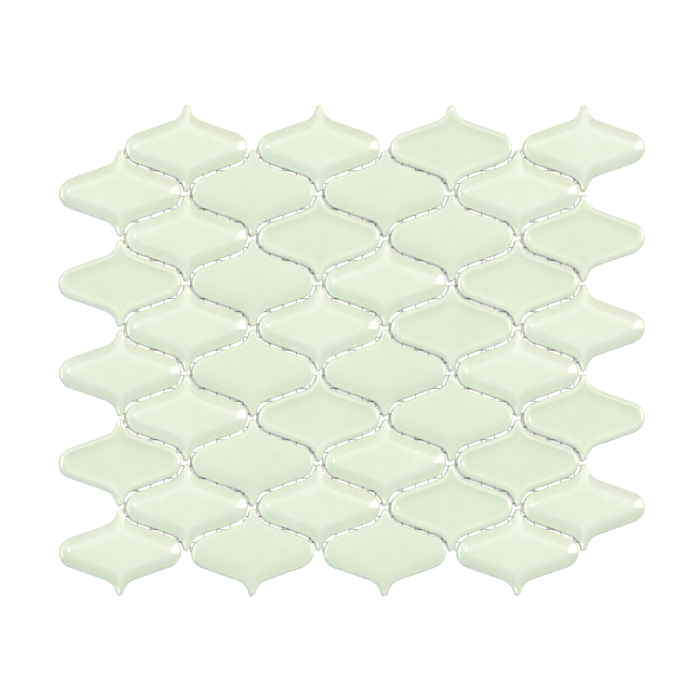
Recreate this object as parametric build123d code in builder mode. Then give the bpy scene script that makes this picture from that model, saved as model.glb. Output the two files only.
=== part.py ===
"""A net-backed mosaic sheet of glazed lantern tiles, set in staggered columns, face up."""

import os
from math import asin, atan2, degrees, hypot, sqrt

from build123d import *

# Tile outline, an ogee with blunt tips at top and bottom and round ends at the sides
tile_width = 65.5
tile_height = 46.8
tip_width = 2.8
shoulder_radius = 7.8
tile_thickness = 7.5

# Short flats along each arc of the outline, few because the tile is repeated
arc_flats = 5

# Bevelled face: a flat panel above a sloping border
bevel_width = 5.5
bevel_drop = 2.5

# Dished face: a sunk field inside a raised rim
rim_width = 4.6
rim_crest_inset = 1.7
rim_edge_drop = 0.9
dish_depth = 1.2

# Plain face: flat, with a softened edge
soft_edge_width = 2.8
soft_edge_drop = 0.8

# Joints between the tiles: even along the flanks, and a gap between the tips
joint_width = 1.5
tip_gap = 1.5

# Backing net: crosswise threads below, lengthwise threads laid over them, in step with the tiles
thread_width = 0.9
thread_thickness = 0.3
threads_per_row = 7
threads_per_column = 5
net_shift = -1.7
net_trim = 5.0

# Face of each tile, one word a column from the left, one letter a tile from the top
face_names = {"B": "bevelled", "D": "dished", "P": "plain"}
column_faces = ("BDBDB", "BBBBB", "PPPPP", "BDBDB", "PBPBP", "DPDPD", "BDBDB", "BDBDB")

# How far a swept section runs past the tile
overrun = 1.0

# Sizes that follow
half_width = tile_width / 2
half_height = tile_height / 2
half_tip = tip_width / 2
row_pitch = tile_height + tip_gap
stagger = row_pitch / 4

# The hollow beside a tip runs round the next tile's shoulder, a joint's width away
hollow_radius = shoulder_radius + joint_width
hollow_x = half_tip + sqrt(hollow_radius**2 - (tip_gap / 2) ** 2)
hollow_y = row_pitch / 2
shoulder_x = half_width - shoulder_radius
column_pitch = shoulder_x + hollow_x

# Where the hollow starts at the tip, and the turn of the straight run that touches both arcs
tip_lean = degrees(asin(tip_gap / 2 / hollow_radius))
run_across = shoulder_x - hollow_x
centre_distance = hypot(run_across, hollow_y)
flank_slope = degrees(atan2(hollow_y, run_across) - asin((shoulder_radius + hollow_radius) / centre_distance))
flank_turn = 90 - flank_slope

# Sizes of the sheet and the net
column_count = len(column_faces)
row_count = len(column_faces[0])
sheet_width = (column_count - 1) * column_pitch + tile_width
sheet_height = (row_count - 1) * row_pitch + tile_height + 2 * stagger
net_thickness = 2 * thread_thickness
crosswise_pitch = row_pitch / threads_per_row
lengthwise_pitch = column_pitch / threads_per_column
crosswise_count = 2 * int(sheet_height / 2 / crosswise_pitch) + 1
lengthwise_count = 2 * int(sheet_width / 2 / lengthwise_pitch) + 1

os.makedirs("parts", exist_ok=True)


def tile_centre(column, row):
    """Gives the middle of a tile, counted from the top left; every second column sits half a row higher."""
    x = (column - (column_count - 1) / 2) * column_pitch
    y = ((row_count - 1) / 2 - row) * row_pitch
    return (x, y + stagger) if column % 2 else (x, y - stagger)


# Flank from the top tip to the right end: a hollow arc, a straight run and a rounded shoulder
with BuildLine() as flank:
    hollow = CenterArc((hollow_x, hollow_y), hollow_radius, 180 + tip_lean, flank_turn - tip_lean)
    shoulder = CenterArc((shoulder_x, 0), shoulder_radius, flank_turn, -flank_turn)
    Line(hollow @ 1, shoulder @ 0)

# Right edge from the top tip to the bottom tip, in flats
with BuildLine() as right_edge:
    steps = [flat / arc_flats for flat in range(arc_flats + 1)]
    Polyline(*[hollow @ step for step in steps], *[shoulder @ step for step in steps])
    mirror(about=Plane.XZ)

# Path of the face sections: the right edge, run on straight past both tips
with BuildLine() as section_path:
    Line((half_tip, half_height + overrun), (half_tip, half_height))
    add(right_edge.line)
    Line((half_tip, -half_height), (half_tip, -half_height - overrun))

# Upright plane across the start of that path: X points out of the tile and Y up
section_plane = Plane(origin=(half_tip, half_height + overrun, 0), x_dir=(1, 0, 0), z_dir=(0, -1, 0))

# Right half of a tile in plan
with BuildSketch() as half_outline:
    with BuildLine():
        add(right_edge.line)
        Polyline((half_tip, half_height), (0, half_height), (0, -half_height), (half_tip, -half_height))
    make_face()

# Whole tile in plan
with BuildSketch() as outline:
    add(half_outline.sketch)
    mirror(about=Plane.YZ)


def sloped_tile(slope_width, slope_drop):
    """Makes a flat-topped tile whose border slopes down to its edge."""
    edge_height = tile_thickness - slope_drop
    with BuildPart() as tile:
        add(half_outline.sketch)
        extrude(amount=tile_thickness)
        with BuildSketch(section_plane):
            with BuildLine():
                Polyline(
                    (-slope_width, tile_thickness),
                    (0, edge_height),
                    (overrun, edge_height),
                    (overrun, tile_thickness + overrun),
                    (-slope_width, tile_thickness + overrun),
                    close=True,
                )
            make_face()
        sweep(path=section_path.wire(), transition=Transition.RIGHT, mode=Mode.SUBTRACT)
        mirror(about=Plane.YZ)
    return tile.part


def dished_tile():
    """Makes a tile with a sunk field inside a raised rim."""
    field_height = tile_thickness - dish_depth
    edge_height = tile_thickness - rim_edge_drop
    with BuildPart() as tile:
        with BuildSketch(section_plane):
            with BuildLine():
                Polyline(
                    (-rim_width, field_height),
                    (-rim_crest_inset, tile_thickness),
                    (0, edge_height),
                    (overrun, edge_height),
                    (overrun, field_height),
                    close=True,
                )
            make_face()
        sweep(path=section_path.wire(), transition=Transition.RIGHT)
        add(half_outline.sketch)
        extrude(amount=tile_thickness, mode=Mode.INTERSECT)
        add(half_outline.sketch)
        extrude(amount=field_height)
        mirror(about=Plane.YZ)
    return tile.part


# One tile of each face, standing on its back at the origin
tile_faces = {
    "B": sloped_tile(bevel_width, bevel_drop),
    "D": dished_tile(),
    "P": sloped_tile(soft_edge_width, soft_edge_drop),
}

# Tiles of the sheet, with their backs on the net
for column, faces in enumerate(column_faces):
    for row, face in enumerate(faces):
        with BuildPart() as tile:
            with Locations((*tile_centre(column, row), net_thickness)):
                add(tile_faces[face])
        tile.part.label = f"{face_names[face]}_tile_{column + 1}_{row + 1}"
        export_step(tile.part, f"parts/{tile.part.label}.step")

# Trim line of the net under a tile
with BuildSketch() as trimmed_tile:
    add(outline.sketch)
    offset(amount=-net_trim, mode=Mode.REPLACE)

# Area that the net covers: between the outer tiles' middles, and under each tile to its trim line
with BuildSketch() as net_area:
    Rectangle((column_count - 1) * column_pitch, (row_count - 1) * row_pitch + 2 * stagger)
    for column in range(column_count):
        for row in range(row_count):
            with Locations(tile_centre(column, row)):
                add(trimmed_tile.sketch)

# Crosswise threads, which lie on the floor
with BuildPart() as crosswise:
    with BuildSketch():
        with GridLocations(0, crosswise_pitch, 1, crosswise_count):
            Rectangle(sheet_width, thread_width)
        add(net_area.sketch, mode=Mode.INTERSECT)
    extrude(amount=thread_thickness)
crosswise.part.label = "net_crosswise"
export_step(crosswise.part, "parts/net_crosswise.step")

# Lengthwise threads, which carry the tiles
with BuildPart() as lengthwise:
    with BuildSketch(Plane.XY.offset(thread_thickness)):
        with Locations((net_shift, 0)):
            with GridLocations(lengthwise_pitch, 0, lengthwise_count, 1):
                Rectangle(thread_width, sheet_height)
        add(net_area.sketch, mode=Mode.INTERSECT)
    extrude(amount=thread_thickness)
lengthwise.part.label = "net_lengthwise"
export_step(lengthwise.part, "parts/net_lengthwise.step")
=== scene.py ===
"""Dresses a net-backed mosaic sheet of glazed lantern tiles and sets it in a studio, seen from straight above."""

import logging
import math
from abc import ABC, abstractmethod
from dataclasses import dataclass, field
from enum import Enum

import bmesh
import bpy
from mathutils import Matrix, Vector
from mathutils.geometry import interpolate_bezier


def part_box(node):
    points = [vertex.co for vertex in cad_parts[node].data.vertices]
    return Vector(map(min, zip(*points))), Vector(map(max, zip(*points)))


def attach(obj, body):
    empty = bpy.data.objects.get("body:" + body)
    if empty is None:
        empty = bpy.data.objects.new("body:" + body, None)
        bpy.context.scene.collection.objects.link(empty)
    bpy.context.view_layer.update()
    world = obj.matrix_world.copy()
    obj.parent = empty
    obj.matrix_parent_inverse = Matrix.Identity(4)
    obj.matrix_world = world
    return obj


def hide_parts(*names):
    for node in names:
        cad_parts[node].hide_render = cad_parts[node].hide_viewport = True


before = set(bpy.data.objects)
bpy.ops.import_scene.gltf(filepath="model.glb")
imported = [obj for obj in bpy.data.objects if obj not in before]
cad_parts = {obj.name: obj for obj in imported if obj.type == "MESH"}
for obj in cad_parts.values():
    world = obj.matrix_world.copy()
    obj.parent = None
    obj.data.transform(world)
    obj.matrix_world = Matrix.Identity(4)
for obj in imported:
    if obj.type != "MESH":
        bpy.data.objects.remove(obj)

LOG = logging.getLogger("mosaic_sheet")

# Units
MM = 0.001

# The body that the pieces belong to
BODY = "root"

# Name of the mesh attribute that says how deep the glaze lies; on bevels and soft edges it also carries painted
# shade, and on the bevel's ridge a painted highlight
GLAZE_AND_SHADE_DEPTH = "glaze_and_shade_depth"

# Handle length that makes a Bezier corner nearly a circular arc
ROUNDNESS = 0.55

# Numbers of finer layers in smooth and fine noise
SMOOTH = 1.0
FINE = 3.0

# Light that grows with height gives a level surface two thirds of its strength, so it is raised by half
OVERHEAD_GAIN = 1.5

Colour = tuple[float, float, float, float]
WHITE: Colour = (1.0, 1.0, 1.0, 1.0)


def screen_colour(red: int, green: int, blue: int) -> Colour:
    """Turns a colour as it shows on a screen into the linear values that shaders use.

    Args:
        red: Red from 0 to 255.
        green: Green from 0 to 255.
        blue: Blue from 0 to 255.

    Returns:
        Linear red, green and blue, with full alpha.
    """
    shares = [level / 255 for level in (red, green, blue)]
    linear = [((s + 0.055) / 1.055) ** 2.4 if s > 0.04045 else s / 12.92 for s in shares]
    return (*linear, 1.0)


class Signal:
    """A shader value that can be used in sums."""

    def __init__(self, sheet: "ShaderSheet", socket: bpy.types.NodeSocket) -> None:
        """Wraps an output socket of a node in that sheet."""
        self.sheet = sheet
        self.socket = socket

    def __add__(self, other: "Signal | float") -> "Signal":
        """Adds a value or a number."""
        return self.sheet.math("ADD", self, other)

    def __radd__(self, other: float) -> "Signal":
        """Adds this value to a number."""
        return self.sheet.math("ADD", other, self)

    def __sub__(self, other: "Signal | float") -> "Signal":
        """Takes a value or a number away."""
        return self.sheet.math("SUBTRACT", self, other)

    def __rsub__(self, other: float) -> "Signal":
        """Takes this value away from a number."""
        return self.sheet.math("SUBTRACT", other, self)

    def __mul__(self, other: "Signal | float") -> "Signal":
        """Multiplies by a value or a number."""
        return self.sheet.math("MULTIPLY", self, other)

    def __rmul__(self, other: float) -> "Signal":
        """Multiplies a number by this value."""
        return self.sheet.math("MULTIPLY", other, self)

    def __truediv__(self, other: "Signal | float") -> "Signal":
        """Divides by a value or a number."""
        return self.sheet.math("DIVIDE", self, other)


class ShaderSheet:
    """A node tree that is written as expressions."""

    def __init__(self, tree: bpy.types.NodeTree) -> None:
        """Empties the tree."""
        self.tree = tree
        self.tree.nodes.clear()

    def add(self, kind: str, settings: dict | None = None, sockets: dict | None = None) -> bpy.types.Node:
        """Adds a node.

        Args:
            kind: Blender's name for the node's type.
            settings: The node's own properties, which are set first.
            sockets: Values or Signals for its input sockets, by identifier.

        Returns:
            The new node.
        """
        node = self.tree.nodes.new(kind)
        for name, value in (settings or {}).items():
            setattr(node, name, value)
        inputs = {socket.identifier: socket for socket in node.inputs}
        for name, value in (sockets or {}).items():
            if isinstance(value, Signal):
                self.tree.links.new(value.socket, inputs[name])
            else:
                inputs[name].default_value = value
        return node

    def signal(self, node: bpy.types.Node, output: str) -> Signal:
        """Gives one output of a node as a Signal."""
        return Signal(self, next(socket for socket in node.outputs if socket.identifier == output))

    def math(self, operation: str, first: Signal | float, second: Signal | float) -> Signal:
        """Works out one sum of two values."""
        node = self.add("ShaderNodeMath", {"operation": operation}, {"Value": first, "Value_001": second})
        return self.signal(node, "Value")

    def place(self) -> Signal:
        """Gives the place on the piece, in the frame's own coordinates."""
        return self.signal(self.add("ShaderNodeTexCoord"), "Object")

    def outlook(self) -> Signal:
        """Gives the direction that the room is looked at in."""
        return self.signal(self.add("ShaderNodeTexCoord"), "Generated")

    def along(self, place: Signal, axis: str) -> Signal:
        """Gives one coordinate of a place, X, Y or Z."""
        return self.signal(self.add("ShaderNodeSeparateXYZ", None, {"Vector": place}), axis)

    def attribute(self, name: str) -> Signal:
        """Gives a number that the mesh carries at its vertices."""
        node = self.add("ShaderNodeAttribute", {"attribute_type": "GEOMETRY", "attribute_name": name})
        return self.signal(node, "Fac")

    def noise(self, place: Signal, grain: float, detail: float = 2.0, distortion: float = 0.0) -> Signal:
        """Gives a soft random value around a half.

        Args:
            place: Where the value is read.
            grain: Size of one blotch, in metres.
            detail: Number of finer layers.
            distortion: How far the blotches are pulled about.

        Returns:
            A value from about 0 to about 1.
        """
        sockets = {"Vector": place, "Scale": 1 / grain, "Detail": detail, "Distortion": distortion}
        return self.signal(self.add("ShaderNodeTexNoise", None, sockets), "Fac")

    def step(self, value: Signal, low: float, high: float) -> Signal:
        """Rises smoothly from 0 to 1.

        Args:
            value: The value that is followed.
            low: Where the rise starts.
            high: Where it ends.

        Returns:
            A value from 0 to 1.
        """
        settings = {"interpolation_type": "SMOOTHSTEP"}
        node = self.add("ShaderNodeMapRange", settings, {"Value": value, "From Min": low, "From Max": high})
        return self.signal(node, "Result")

    def blend(self, share: Signal, first: Signal | Colour, second: Signal | Colour) -> Signal:
        """Blends two colours.

        Args:
            share: 0 for the first colour, 1 for the second.
            first: Colour or Signal.
            second: Colour or Signal.

        Returns:
            The blended colour.
        """
        sockets = {"Factor_Float": share, "A_Color": first, "B_Color": second}
        return self.signal(self.add("ShaderNodeMix", {"data_type": "RGBA"}, sockets), "Result_Color")

    def bump(self, height: Signal, distance: float, strength: float, under: Signal | None = None) -> Signal:
        """Tilts the surface as a relief would.

        Args:
            height: Relief from 0 to 1.
            distance: Real height of the relief, in metres.
            strength: Share of the effect.
            under: An earlier relief that this one lies on.

        Returns:
            The tilted normal.
        """
        sockets = {"Height": height, "Distance": distance, "Strength": strength}
        if under:
            sockets["Normal"] = under
        return self.signal(self.add("ShaderNodeBump", None, sockets), "Normal")

    def mirrored(self) -> Signal:
        """Gives 1 for rays that gloss throws back."""
        return self.signal(self.add("ShaderNodeLightPath"), "Is Glossy Ray")

    def seen(self) -> Signal:
        """Finds the rays that show a surface to the eye, straight or by way of gloss or glass.

        Returns:
            1 for those rays and 0 for others.
        """
        paths = self.add("ShaderNodeLightPath")
        straight = self.signal(paths, "Is Camera Ray")
        mirrored = self.signal(paths, "Is Glossy Ray")
        passed = self.signal(paths, "Is Transmission Ray")
        return self.math("MAXIMUM", self.math("MAXIMUM", straight, mirrored), passed)


def new_material(name: str) -> tuple[bpy.types.Material, ShaderSheet]:
    """Makes an empty material.

    Args:
        name: The material's name.

    Returns:
        The material and the sheet that its nodes go on.
    """
    material = bpy.data.materials.new(name)
    material.use_nodes = True
    return material, ShaderSheet(material.node_tree)


@dataclass(frozen=True)
class GlazeFinish:
    """Gloss pale green glaze over a cream clay body, which shows at the foot and on the back."""

    thin: Colour = screen_colour(250, 251, 246)
    usual: Colour = screen_colour(231, 239, 215)
    deep: Colour = screen_colour(217, 229, 204)
    clay: Colour = screen_colour(236, 230, 218)
    clay_speck: Colour = screen_colour(222, 213, 198)
    gloss: float = 0.04
    dull: float = 0.8
    index: float = 1.56
    full_depth: float = 0.5
    drift_size: float = 19 * MM
    drift_depth: float = 0.3
    mottle_size: float = 5 * MM
    mottle_depth: float = 0.2
    mottle_pull: float = 0.4
    mottle_dulling: float = 0.05
    ripple_size: float = 9 * MM
    ripple_height: float = 0.05 * MM
    grit_size: float = 0.35 * MM
    grit_height: float = 0.03 * MM
    speck_range: tuple[float, float] = (0.5, 0.75)
    foot_height: float = 1.9 * MM
    foot_wander: float = 1.2 * MM
    foot_softness: float = 0.12 * MM

    def material(self) -> bpy.types.Material:
        """Makes the shader.

        Returns:
            The finished material.
        """
        material, sheet = new_material("glazed_ceramic")
        place = sheet.place()

        # Depth of the glaze, from thin at -1 through usual at 0 to deep at 1; deeper glaze on bevels and soft
        # edges is painted shade, thinner glaze on the bevel's ridge partly a painted highlight
        drift = sheet.noise(place, self.drift_size, SMOOTH)
        mottle = sheet.noise(place, self.mottle_size, distortion=self.mottle_pull)
        wander = self.drift_depth * (drift - 0.5) + self.mottle_depth * (mottle - 0.5)
        depth = (sheet.attribute(GLAZE_AND_SHADE_DEPTH) + wander) / self.full_depth
        glaze = sheet.blend(depth, sheet.blend(1 + depth, self.thin, self.usual), self.deep)

        # Bare clay
        grit = sheet.noise(place, self.grit_size, FINE)
        body = sheet.blend(sheet.step(grit, *self.speck_range), self.clay, self.clay_speck)

        # How far down the wall the glaze laps, and the relief of both
        lap = sheet.along(place, "Z") + self.foot_wander * (drift - 0.5)
        glazed = sheet.step(lap, self.foot_height, self.foot_height + self.foot_softness)
        ripple = sheet.noise(place, self.ripple_size, SMOOTH)
        relief = sheet.bump(grit * (1 - glazed), self.grit_height, 1.0)
        relief = sheet.bump(ripple * glazed, self.ripple_height, 1.0, relief)
        dulling = glazed * (self.gloss - self.dull) + self.mottle_dulling * (mottle - 0.5)
        surface = sheet.add(
            "ShaderNodeBsdfPrincipled",
            None,
            {
                "Base Color": sheet.blend(glazed, body, glaze),
                "Roughness": self.dull + dulling,
                "IOR": self.index,
                "Normal": relief,
            },
        )
        sheet.add("ShaderNodeOutputMaterial", None, {"Surface": sheet.signal(surface, "BSDF")})
        return material


@dataclass(frozen=True)
class YarnFinish:
    """Grey coated glass-fibre yarn with a fine twist."""

    light: Colour = screen_colour(214, 216, 214)
    dark: Colour = screen_colour(176, 178, 177)
    fibre_size: float = 0.25 * MM
    twist_pitch: float = 0.9 * MM
    twist_height: float = 0.06 * MM
    # Twist crests lighter and grooves darker in colour: painted shade that follows the twist's relief
    twist_painted_shade: float = 0.4
    twist_relief: float = 0.7
    roughness: float = 0.55
    fibre_dulling: float = 0.2

    def material(self) -> bpy.types.Material:
        """Makes the shader.

        Returns:
            The finished material.
        """
        material, sheet = new_material("coated_yarn")
        place = sheet.place()
        fibre = sheet.noise(place, self.fibre_size, FINE)
        slant = sheet.along(place, "X") + sheet.along(place, "Y")
        twist = 0.5 + 0.5 * sheet.math("SINE", slant * (2 * math.pi / self.twist_pitch), 0.0)
        # Random fibre tone plus painted shade in the twist's grooves
        shade = (1 - self.twist_painted_shade) * fibre + self.twist_painted_shade * twist
        relief = self.twist_relief * twist + (1 - self.twist_relief) * fibre
        surface = sheet.add(
            "ShaderNodeBsdfPrincipled",
            None,
            {
                "Base Color": sheet.blend(shade, self.dark, self.light),
                "Roughness": self.roughness + self.fibre_dulling * (fibre - 0.5),
                "Normal": sheet.bump(relief, self.twist_height, 1.0),
            },
        )
        sheet.add("ShaderNodeOutputMaterial", None, {"Surface": sheet.signal(surface, "BSDF")})
        return material


@dataclass(frozen=True)
class FloorFinish:
    """White studio floor: paint that takes the shadows, and a share of white that only the eye sees."""

    paint: float = 0.86
    white: float = 0.37

    def material(self) -> bpy.types.Material:
        """Makes the shader.

        Returns:
            The finished material.
        """
        material, sheet = new_material("studio_floor")
        paint = sheet.add("ShaderNodeBsdfDiffuse", None, {"Color": (self.paint, self.paint, self.paint, 1.0)})
        white = sheet.add("ShaderNodeEmission", None, {"Strength": sheet.seen() * self.white})
        both = sheet.add("ShaderNodeAddShader")
        sheet.tree.links.new(paint.outputs["BSDF"], both.inputs[0])
        sheet.tree.links.new(white.outputs["Emission"], both.inputs[1])
        sheet.add("ShaderNodeOutputMaterial", None, {"Surface": sheet.signal(both, "Shader")})
        return material


class FaceKind(Enum):
    """The three faces that the tiles have, as their nodes are named."""

    BEVELLED = "bevelled"
    DISHED = "dished"
    PLAIN = "plain"


@dataclass(frozen=True)
class SectionPoint:
    """A point of a tile's section.

    Attributes:
        inset: Distance in from the tile's outline.
        height: Height above the tile's back.
        glaze: How much deeper than usual the glaze lies here; less than 0 where it is drawn thin. On bevels and
            soft edges the extra depth is painted shade, and on a bevel's ridge the thinning is partly a painted
            highlight.
        ease: How far outside this corner its rounding starts.
        inner_ease: How far inside this corner its rounding ends.
    """

    inset: float
    height: float
    glaze: float = 0.0
    ease: float = 0.0
    inner_ease: float = 0.0

    def spot(self) -> Vector:
        """Gives the point as a vector, inset first."""
        return Vector((self.inset, self.height, 0.0))


class TileFace(ABC):
    """The upper part of a tile's section, from the top of its wall to its middle."""

    @abstractmethod
    def corners(self, top: float) -> list[SectionPoint]:
        """Gives the section's corners.

        Args:
            top: Height of the tile's highest face.

        Returns:
            Corners from the top of the wall inwards.
        """


@dataclass(frozen=True)
class BevelledFace(TileFace):
    """A panel, flat but for a low dome at its border, above a sloping bevel."""

    bevel_width: float = 5.4 * MM
    bevel_drop: float = 2.5 * MM
    dome_width: float = 8.3 * MM
    dome_drop: float = 0.2 * MM
    wall_ease: float = 0.8 * MM
    edge_ease: float = 1.5 * MM
    ridge_ease: float = 1.2 * MM
    panel_ease: float = 1.1 * MM
    dome_ease: float = 1.6 * MM
    middle_inset: float = 10.4 * MM
    # Deeper glaze on the bevel is painted shade that darkens it; thinner glaze on the ridge is partly glaze break
    # and partly a painted highlight
    edge_glaze_and_shade: float = 0.15
    ridge_glaze_and_highlight: float = -0.1
    dome_glaze: float = -0.03

    def corners(self, top: float) -> list[SectionPoint]:
        """Gives the section's corners.

        Args:
            top: Height of the tile's highest face.

        Returns:
            Corners from the top of the wall inwards.
        """
        edge, ridge = top - self.bevel_drop, top - self.dome_drop
        return [
            SectionPoint(0.0, edge, self.edge_glaze_and_shade, self.wall_ease, self.edge_ease),
            SectionPoint(self.bevel_width, ridge, self.ridge_glaze_and_highlight, self.ridge_ease, self.panel_ease),
            SectionPoint(self.dome_width, top, self.dome_glaze, self.dome_ease, self.dome_ease),
            SectionPoint(self.middle_inset, top),
        ]


@dataclass(frozen=True)
class DishedFace(TileFace):
    """A sunk field inside a raised rim."""

    rim_width: float = 5.0 * MM
    crest_inset: float = 1.9 * MM
    edge_drop: float = 1.0 * MM
    dish_depth: float = 0.64 * MM
    wall_ease: float = 0.8 * MM
    edge_ease: float = 0.8 * MM
    crest_ease: float = 1.0 * MM
    dish_ease: float = 1.4 * MM
    field_ease: float = 2.4 * MM
    middle_inset: float = 8.2 * MM
    crest_glaze: float = 0.1
    dish_glaze: float = 0.34
    field_glaze: float = 0.26

    def corners(self, top: float) -> list[SectionPoint]:
        """Gives the section's corners.

        Args:
            top: Height of the tile's highest face.

        Returns:
            Corners from the top of the wall inwards.
        """
        bottom = top - self.dish_depth
        return [
            SectionPoint(0.0, top - self.edge_drop, 0.0, self.wall_ease, self.edge_ease),
            SectionPoint(self.crest_inset, top, self.crest_glaze, self.crest_ease, self.crest_ease),
            SectionPoint(self.rim_width, bottom, self.dish_glaze, self.dish_ease, self.field_ease),
            SectionPoint(self.middle_inset, bottom, self.field_glaze),
        ]


@dataclass(frozen=True)
class PlainFace(TileFace):
    """A flat face that falls away softly to its edge."""

    edge_width: float = 2.7 * MM
    edge_drop: float = 0.84 * MM
    fall_width: float = 5.6 * MM
    fall_drop: float = 0.4 * MM
    dome_width: float = 8.8 * MM
    dome_drop: float = 0.1 * MM
    wall_ease: float = 0.8 * MM
    edge_ease: float = 1.1 * MM
    soft_ease: float = 1.3 * MM
    fall_ease: float = 1.4 * MM
    dome_ease: float = 1.6 * MM
    middle_inset: float = 10.4 * MM
    # Deeper glaze from the edge in to the fall than in the middle is painted shade on the falling edge
    edge_glaze_and_shade: float = 0.18
    soft_glaze_and_shade: float = 0.3
    fall_glaze_and_shade: float = 0.24
    middle_glaze: float = 0.2

    def corners(self, top: float) -> list[SectionPoint]:
        """Gives the section's corners.

        Args:
            top: Height of the tile's highest face.

        Returns:
            Corners from the top of the wall inwards.
        """
        edge, soft, fall = top - self.edge_drop, top - self.fall_drop, top - self.dome_drop
        return [
            SectionPoint(0.0, edge, self.edge_glaze_and_shade, self.wall_ease, self.edge_ease),
            SectionPoint(self.edge_width, soft, self.soft_glaze_and_shade, self.soft_ease, self.soft_ease),
            SectionPoint(self.fall_width, fall, self.fall_glaze_and_shade, self.fall_ease, self.fall_ease),
            SectionPoint(self.dome_width, top, self.middle_glaze, self.dome_ease, self.dome_ease),
            SectionPoint(self.middle_inset, top, self.middle_glaze),
        ]


@dataclass
class LanternOutline:
    """A quarter of the tile's outline, from its top tip to its right end.

    The tip is a small round. Then come a hollow arc, which runs round the next tile's shoulder a joint's width
    away, a straight run and a rounded shoulder. The points of an inset outline keep their places in that order,
    so that outlines can be joined ring by ring.
    """

    half_width: float
    half_height: float
    half_tip: float = 1.4 * MM
    half_tip_gap: float = 0.75 * MM
    joint: float = 1.5 * MM
    shoulder_radius: float = 8.5 * MM
    tip_steps: int = 4
    hollow_steps: int = 13
    run_steps: int = 4
    shoulder_steps: int = 13
    hollow_radius: float = field(init=False)
    hollow: Vector = field(init=False)
    shoulder: Vector = field(init=False)
    tip_radius: float = field(init=False)
    tip_lean: float = field(init=False)
    flank_turn: float = field(init=False)

    def __post_init__(self) -> None:
        """Works out the sizes and the arcs' middles, which follow from the other sizes."""
        self.hollow_radius = self.shoulder_radius + self.joint
        reach = self.half_tip + math.sqrt(self.hollow_radius**2 - self.half_tip_gap**2)
        self.hollow = Vector((reach, self.half_height + self.half_tip_gap, 0.0))
        self.shoulder = Vector((self.half_width - self.shoulder_radius, 0.0, 0.0))
        rise = self.half_tip_gap
        self.tip_radius = (reach**2 + rise**2 - self.hollow_radius**2) / (2 * (self.hollow_radius - rise))
        self.tip_lean = math.atan2(rise + self.tip_radius, reach)
        between = self.hollow - self.shoulder
        turn = math.acos((self.shoulder_radius + self.hollow_radius) / between.length)
        self.flank_turn = math.atan2(between.y, between.x) - turn

    @property
    def steps(self) -> int:
        """Number of steps from the tip to the right end."""
        return self.tip_steps + self.hollow_steps + self.run_steps + self.shoulder_steps

    def on_tip(self, share: float, inset: float) -> Vector:
        """Finds a point of the small round at the tip.

        Args:
            share: Share of the way along it, from the tip's side.
            inset: Distance in from the outline.

        Returns:
            The point in plan.
        """
        lean = math.pi / 2 + share * (self.tip_lean - math.pi / 2)
        middle = Vector((0.0, self.half_height - self.tip_radius, 0.0))
        return middle + (self.tip_radius - inset) * Vector((math.cos(lean), math.sin(lean), 0.0))

    def on_hollow(self, share: float, inset: float) -> Vector:
        """Finds a point of the hollow arc; a deep inset starts it on the tile's middle line.

        Args:
            share: Share of the way along it, from the tip's side.
            inset: Distance in from the outline.

        Returns:
            The point in plan.
        """
        radius = self.hollow_radius + inset
        start = self.tip_lean if inset < self.tip_radius else math.acos(self.hollow.x / radius)
        turn = start + share * (self.flank_turn - start)
        return self.hollow - radius * Vector((math.cos(turn), math.sin(turn), 0.0))

    def on_shoulder(self, share: float, inset: float) -> Vector:
        """Finds a point of the rounded shoulder; a deep inset has a corner on the tile's middle line there.

        Args:
            share: Share of the way along it, from the tip's side.
            inset: Distance in from the outline.

        Returns:
            The point in plan.
        """
        radius = self.shoulder_radius - inset
        turn = self.flank_turn * (1 - share)
        if radius < 0:
            return self.shoulder + Vector((radius / math.cos(self.flank_turn), 0.0, 0.0))
        return self.shoulder + radius * Vector((math.cos(turn), math.sin(turn), 0.0))

    def point(self, step: int, inset: float) -> Vector:
        """Finds a point of the outline.

        Args:
            step: Steps from the tip.
            inset: Distance in from the outline.

        Returns:
            The point in plan, with the tile's middle at the origin.
        """
        hollow_start = self.tip_steps if inset < self.tip_radius else 0
        hollow_end = self.tip_steps + self.hollow_steps
        run_end = hollow_end + self.run_steps
        if step < hollow_start:
            return self.on_tip(step / self.tip_steps, inset)
        if step <= hollow_end:
            return self.on_hollow((step - hollow_start) / (hollow_end - hollow_start), inset)
        if step < run_end:
            share = (step - hollow_end) / self.run_steps
            return self.on_hollow(1.0, inset).lerp(self.on_shoulder(0.0, inset), share)
        return self.on_shoulder((step - run_end) / self.shoulder_steps, inset)


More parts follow.
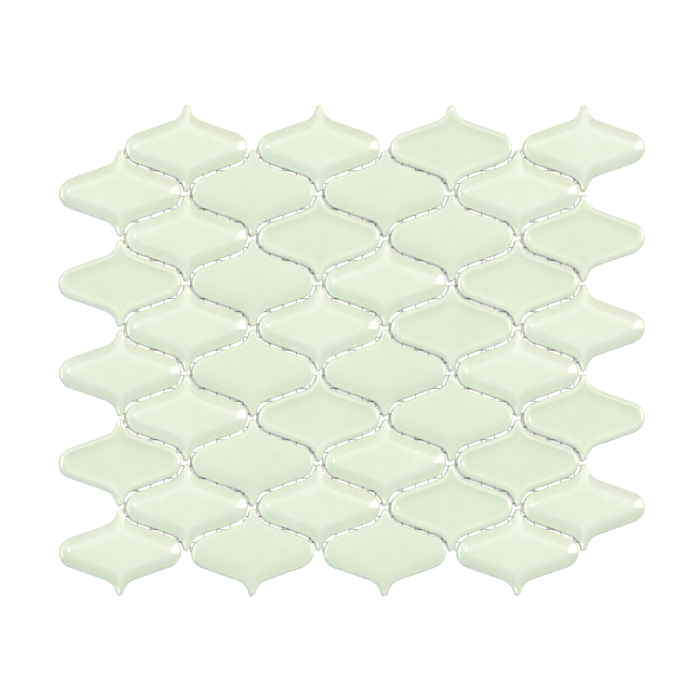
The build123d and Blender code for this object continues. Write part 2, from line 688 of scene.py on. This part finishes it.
@dataclass
class LanternTiles:
    """The glazed tiles of the sheet, one piece for each tile."""

    finish: GlazeFinish
    nodes: list[str]
    foot_inset: float = 0.5 * MM
    foot_rise: float = 0.5 * MM
    foot_ease: float = 0.3 * MM
    corner_steps: int = 6
    bare_width: float = 2.4 * MM
    bare_depth: float = 0.38
    ridge_reach: float = 4.0 * MM
    ridge_passes: int = 6
    ridge_pull: float = 0.5
    tip_radii_kept: float = 2.0
    merge: float = 0.001 * MM
    sharp_angle: float = math.radians(50)
    faces: dict[FaceKind, TileFace] = field(
        default_factory=lambda: {
            FaceKind.BEVELLED: BevelledFace(),
            FaceKind.DISHED: DishedFace(),
            FaceKind.PLAIN: PlainFace(),
        }
    )

    def section(self, face: TileFace, top: float) -> list[SectionPoint]:
        """Rounds the corners of a tile's section.

        Args:
            face: The tile's face.
            top: Height of the tile's highest face.

        Returns:
            Points from the edge of the back, up the wall and in to the middle.
        """
        foot = SectionPoint(0.0, self.foot_rise, 0.0, self.foot_ease, self.foot_ease)
        upper = face.corners(top)
        corners = [SectionPoint(self.foot_inset, 0.0), foot, *upper]
        points = corners[:1]
        for before, here, after in zip(corners, corners[1:], corners[2:]):
            start = here.spot() + here.ease * (before.spot() - here.spot()).normalized()
            finish = here.spot() + here.inner_ease * (after.spot() - here.spot()).normalized()
            pull = start.lerp(here.spot(), ROUNDNESS), finish.lerp(here.spot(), ROUNDNESS)
            for spot in interpolate_bezier(start, *pull, finish, self.corner_steps + 1):
                points.append(SectionPoint(spot.x, spot.y, self.glaze(upper, spot.x)))
        return points + corners[-1:]

    def glaze(self, corners: list[SectionPoint], inset: float) -> float:
        """Finds how much deeper than usual the glaze lies, with the painted shade on bevels and soft edges and
        the painted highlight on the bevel's ridge.

        Args:
            corners: Corners of the face's section.
            inset: Distance in from the outline.

        Returns:
            What lies between the values of the corners on both sides, less what the edge draws off.
        """
        bare = self.bare_depth * max(0.0, 1 - inset / self.bare_width) ** 2
        for before, after in zip(corners, corners[1:]):
            if inset <= after.inset:
                share = (inset - before.inset) / (after.inset - before.inset)
                return before.glaze + share * (after.glaze - before.glaze) - bare
        return corners[-1].glaze

    def pattern(self, kind: FaceKind, size: Vector) -> bpy.types.Mesh:
        """Makes the mesh of a tile that stands on its back at the origin.

        Args:
            kind: The tile's face.
            size: Width, height and thickness of the tile.

        Returns:
            The mesh.
        """
        outline = LanternOutline(size.x / 2, size.y / 2)
        section = self.section(self.faces[kind], size.z)
        rings = len(section) - 1
        bm = bmesh.new()
        depth = bm.verts.layers.float.new(GLAZE_AND_SHADE_DEPTH)
        bmesh.ops.create_grid(bm, x_segments=outline.steps, y_segments=rings, size=0.5)
        for vert in bm.verts:
            here = section[round((vert.co.y + 0.5) * rings)]
            vert.co = outline.point(round((vert.co.x + 0.5) * outline.steps), here.inset)
            vert.co.z = here.height
            vert[depth] = here.glaze
        for axis in "XY":
            bmesh.ops.mirror(bm, geom=[*bm.verts, *bm.edges, *bm.faces], merge_dist=self.merge, axis=axis)
        bmesh.ops.remove_doubles(bm, verts=bm.verts, dist=self.merge)
        self.soften_ridges(bm, outline, size.z)
        bmesh.ops.holes_fill(bm, edges=bm.edges, sides=0)
        bmesh.ops.recalc_face_normals(bm, faces=bm.faces)
        mesh = bpy.data.meshes.new(f"{kind.value}_pattern")
        bm.to_mesh(mesh)
        bm.free()
        mesh.shade_smooth()
        mesh.set_sharp_from_angle(angle=self.sharp_angle)
        return mesh

    def soften_ridges(self, bm: bmesh.types.BMesh, outline: LanternOutline, top: float) -> None:
        """Rounds the ridges where the two flanks' slopes meet below each tip.

        Args:
            bm: The tile.
            outline: The tile's outline.
            top: Height of the tile's highest face.
        """
        limit = outline.half_height - self.tip_radii_kept * outline.tip_radius
        for count in range(self.ridge_passes):
            reach = self.ridge_reach * (1 - count / self.ridge_passes)
            ridges = [v for v in bm.verts if abs(v.co.x) < reach and abs(v.co.y) < limit and v.co.z > top / 2]
            bmesh.ops.smooth_vert(bm, verts=ridges, factor=self.ridge_pull, use_axis_y=True, use_axis_z=True)

    def build(self) -> list[bpy.types.Object]:
        """Makes every tile and sets it where its node is.

        Returns:
            The tiles.
        """
        material = self.finish.material()
        patterns: dict[FaceKind, bpy.types.Mesh] = {}
        tiles = []
        for node in self.nodes:
            low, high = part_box(node)
            kind = FaceKind(node.partition("_")[0])
            if kind not in patterns:
                patterns[kind] = self.pattern(kind, high - low)
                patterns[kind].materials.append(material)
            mesh = patterns[kind].copy()
            mesh.name = f"{node}_glazed"
            mesh.transform(Matrix.Translation(((low.x + high.x) / 2, (low.y + high.y) / 2, low.z)))
            tiles.append(add_piece(mesh, node))
        for mesh in patterns.values():
            bpy.data.meshes.remove(mesh)
        return tiles


@dataclass
class BackingNet:
    """The layers of the net, one piece for each, with a flattened yarn where each CAD thread lies."""

    finish: YarnFinish
    nodes: tuple[str, ...]
    sides: int = 10
    slimness: float = 0.75
    merge: float = 0.001 * MM
    sharp_angle: float = math.radians(60)

    def threads(self, node: str) -> list[tuple[Vector, Vector]]:
        """Finds where the threads of a layer lie.

        Args:
            node: The layer's node.

        Returns:
            The lowest and highest corner of each thread.
        """
        bm = bmesh.new()
        bm.from_mesh(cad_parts[node].data)
        bmesh.ops.remove_doubles(bm, verts=bm.verts, dist=self.merge)
        left = set(bm.verts)
        boxes = []
        while left:
            thread, edge = set(), [left.pop()]
            while edge:
                vert = edge.pop()
                thread.add(vert)
                reached = {link.other_vert(vert) for link in vert.link_edges} & left
                left -= reached
                edge.extend(reached)
            corners = [vert.co for vert in thread]
            boxes.append((Vector(map(min, zip(*corners))), Vector(map(max, zip(*corners)))))
        bm.free()
        return boxes

    def layer(self, node: str, material: bpy.types.Material) -> bpy.types.Object:
        """Makes one layer.

        Args:
            node: The layer's node.
            material: The yarn's material.

        Returns:
            The layer, as one piece.
        """
        bm = bmesh.new()
        for low, high in self.threads(node):
            size = high - low
            across = 1 if size.x > size.y else 0
            size[across] *= self.slimness
            turn = Matrix.Rotation(math.pi / 2, 4, "XY"[across])
            place = Matrix.LocRotScale((low + high) / 2, None, size) @ turn
            bmesh.ops.create_cone(
                bm, cap_ends=True, segments=self.sides, radius1=0.5, radius2=0.5, depth=1.0, matrix=place
            )
        bmesh.ops.recalc_face_normals(bm, faces=bm.faces)
        mesh = bpy.data.meshes.new(f"{node}_yarn")
        bm.to_mesh(mesh)
        bm.free()
        mesh.shade_smooth()
        mesh.set_sharp_from_angle(angle=self.sharp_angle)
        mesh.materials.append(material)
        return add_piece(mesh, node)

    def build(self) -> list[bpy.types.Object]:
        """Makes every layer."""
        material = self.finish.material()
        return [self.layer(node, material) for node in self.nodes]


def add_piece(mesh: bpy.types.Mesh, node: str) -> bpy.types.Object:
    """Makes a mesh a piece of the sheet that stands for a CAD node.

    Args:
        mesh: The finished mesh, in place.
        node: The node that it replaces.

    Returns:
        The piece.
    """
    piece = bpy.data.objects.new(mesh.name, mesh)
    bpy.context.scene.collection.objects.link(piece)
    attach(piece, BODY)
    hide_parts(node)
    return piece


@dataclass(frozen=True)
class StudioLamp:
    """A soft lamp that faces the middle of the sheet.

    Attributes:
        name: What the lamp is called.
        azimuth: Degrees round from +X towards +Y.
        zenith: Degrees down from straight overhead.
        width: Width of its face, in metres.
        height: Height of its face, in metres.
        share: Share of the full light level that a level surface gets from it.
        tint: Red, green and blue of its light.
        lights: Whether it lights matt surfaces.
        mirrored: Whether gloss mirrors it.
        distance: Distance from the middle of the sheet, in metres.
    """

    name: str
    azimuth: float
    zenith: float
    width: float
    height: float
    share: float
    tint: tuple[float, float, float] = (1.0, 1.0, 1.0)
    lights: bool = True
    mirrored: bool = True
    distance: float = 8.0

    def build(self) -> bpy.types.Object:
        """Hangs the lamp.

        Returns:
            The lamp.
        """
        lean, turn = math.radians(self.zenith), math.radians(self.azimuth)
        aim = Vector((math.sin(lean) * math.cos(turn), math.sin(lean) * math.sin(turn), math.cos(lean)))
        light = bpy.data.lights.new(self.name, "AREA")
        light.shape = "RECTANGLE"
        light.size = self.width
        light.size_y = self.height
        light.color = self.tint
        light.energy = self.share * (math.pi * self.distance) ** 2 / math.cos(lean)
        lamp = bpy.data.objects.new(self.name, light)
        lamp.location = aim * self.distance
        lamp.rotation_mode = "QUATERNION"
        lamp.rotation_quaternion = aim.to_track_quat("Z", "Y")
        lamp.visible_diffuse = self.lights
        lamp.visible_glossy = self.mirrored
        bpy.context.scene.collection.objects.link(lamp)
        return lamp


@dataclass
class Studio:
    """White floor, soft lamps and a camera that looks straight down."""

    floor: FloorFinish
    fill: float = 0.05
    fill_tint: Colour = (0.95, 1.0, 1.0, 1.0)
    near_side: float = 0.35
    near_tint: Colour = (0.0, 1.0, 0.75, 1.0)
    near_fade: tuple[float, float] = (-0.65, -0.2)
    ceiling: float = 2.7
    far_side: float = 1.0
    ceiling_rise: tuple[float, float] = (-0.55, 0.42)
    ceiling_fall: tuple[float, float] = (0.34, 0.72)
    floor_size: float = 12.0
    floor_clearance: float = 0.02 * MM
    frame_width: float = 376.25 * MM
    image_size: int = 700
    sheet_right: float = 2.4
    sheet_up: float = 0.0
    face_height: float = 7.0 * MM
    camera_height: float = 4.0
    lamps: tuple[StudioLamp, ...] = (
        StudioLamp("key_lamp", 38, 11, 0.4, 0.4, 0.7, (1.04, 1.0, 0.98), mirrored=False),
        StudioLamp("warm_fill", 100, 45, 3.0, 3.0, 0.06, (1.1, 1.0, 0.95), mirrored=False),
        StudioLamp("cool_left", 200, 52, 4.0, 4.0, 0.11, (0.75, 1.0, 1.02), mirrored=False),
        StudioLamp("cool_near", 265, 50, 4.0, 4.0, 0.05, (0.7, 1.0, 1.04), mirrored=False),
        StudioLamp("right_card", 15.5, 51, 4.2, 3.7, 0.3, lights=False),
        StudioLamp("right_strip", 5, 29, 1.6, 2.5, 0.1, lights=False),
        StudioLamp("left_spot", 167, 37, 1.7, 1.4, 0.13, lights=False),
        StudioLamp("left_card", 185, 68, 6.0, 4.4, 0.28, lights=False),
    )

    def build(self) -> None:
        """Sets up the floor, the light and the camera."""
        self.lay_floor()
        self.light_room()
        for lamp in self.lamps:
            LOG.info("lamp %s", lamp.build().name)
        self.place_camera()

    def lay_floor(self) -> None:
        """Lays the floor just under the net."""
        bm = bmesh.new()
        bmesh.ops.create_grid(bm, x_segments=1, y_segments=1, size=self.floor_size / 2)
        bmesh.ops.translate(bm, verts=bm.verts, vec=(0.0, 0.0, -self.floor_clearance))
        mesh = bpy.data.meshes.new("studio_floor")
        bm.to_mesh(mesh)
        bm.free()
        mesh.materials.append(self.floor.material())
        floor = bpy.data.objects.new("studio_floor", mesh)
        bpy.context.scene.collection.objects.link(floor)

    def light_room(self) -> None:
        """Fills the room with soft light, most of it from overhead.

        The room looks white to the eye. Gloss mirrors a bright ceiling, a paler far side and a dim, tinted
        near side.
        """
        world = bpy.data.worlds.new("studio_room")
        world.use_nodes = True
        bpy.context.scene.world = world
        sheet = ShaderSheet(world.node_tree)
        outlook = sheet.outlook()
        seen = sheet.seen()
        mirrored = sheet.mirrored()
        across = sheet.along(outlook, "Y")
        rise = (self.ceiling - self.near_side) * sheet.step(across, *self.ceiling_rise)
        fall = (self.far_side - self.ceiling) * sheet.step(across, *self.ceiling_fall)
        look = 1 + mirrored * (self.near_side + rise + fall - 1)
        plain = sheet.blend(seen, self.fill_tint, WHITE)
        tinted = sheet.blend(sheet.step(across, *self.near_fade), self.near_tint, WHITE)
        fill = OVERHEAD_GAIN * self.fill * sheet.math("MAXIMUM", sheet.along(outlook, "Z"), 0.0)
        sockets = {
            "Color": sheet.blend(mirrored, plain, tinted),
            "Strength": fill + seen * (look - fill),
        }
        room = sheet.add("ShaderNodeBackground", None, sockets)
        sheet.add("ShaderNodeOutputWorld", None, {"Surface": sheet.signal(room, "Background")})

    def place_camera(self) -> None:
        """Hangs the camera over the sheet, with the sheet where it lies in the picture."""
        pixel = self.frame_width / self.image_size
        data = bpy.data.cameras.new("camera")
        data.lens = data.sensor_width * (self.camera_height - self.face_height) / self.frame_width
        data.clip_end = 2 * self.camera_height
        camera = bpy.data.objects.new("camera", data)
        camera.location = (-self.sheet_right * pixel, -self.sheet_up * pixel, self.camera_height)
        bpy.context.scene.collection.objects.link(camera)
        bpy.context.scene.camera = camera


def main() -> None:
    """Builds the sheet and its studio."""
    logging.basicConfig(level=logging.INFO, format="%(message)s")
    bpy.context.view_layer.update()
    bpy.context.scene.view_settings.view_transform = "Standard"
    tile_nodes = sorted(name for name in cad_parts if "_tile_" in name)
    for tile in LanternTiles(GlazeFinish(), tile_nodes).build():
        LOG.info("piece %s", tile.name)
    for layer in BackingNet(YarnFinish(), ("net_crosswise", "net_lengthwise")).build():
        LOG.info("piece %s", layer.name)
    Studio(FloorFinish()).build()


if __name__ == "__main__":
    main()
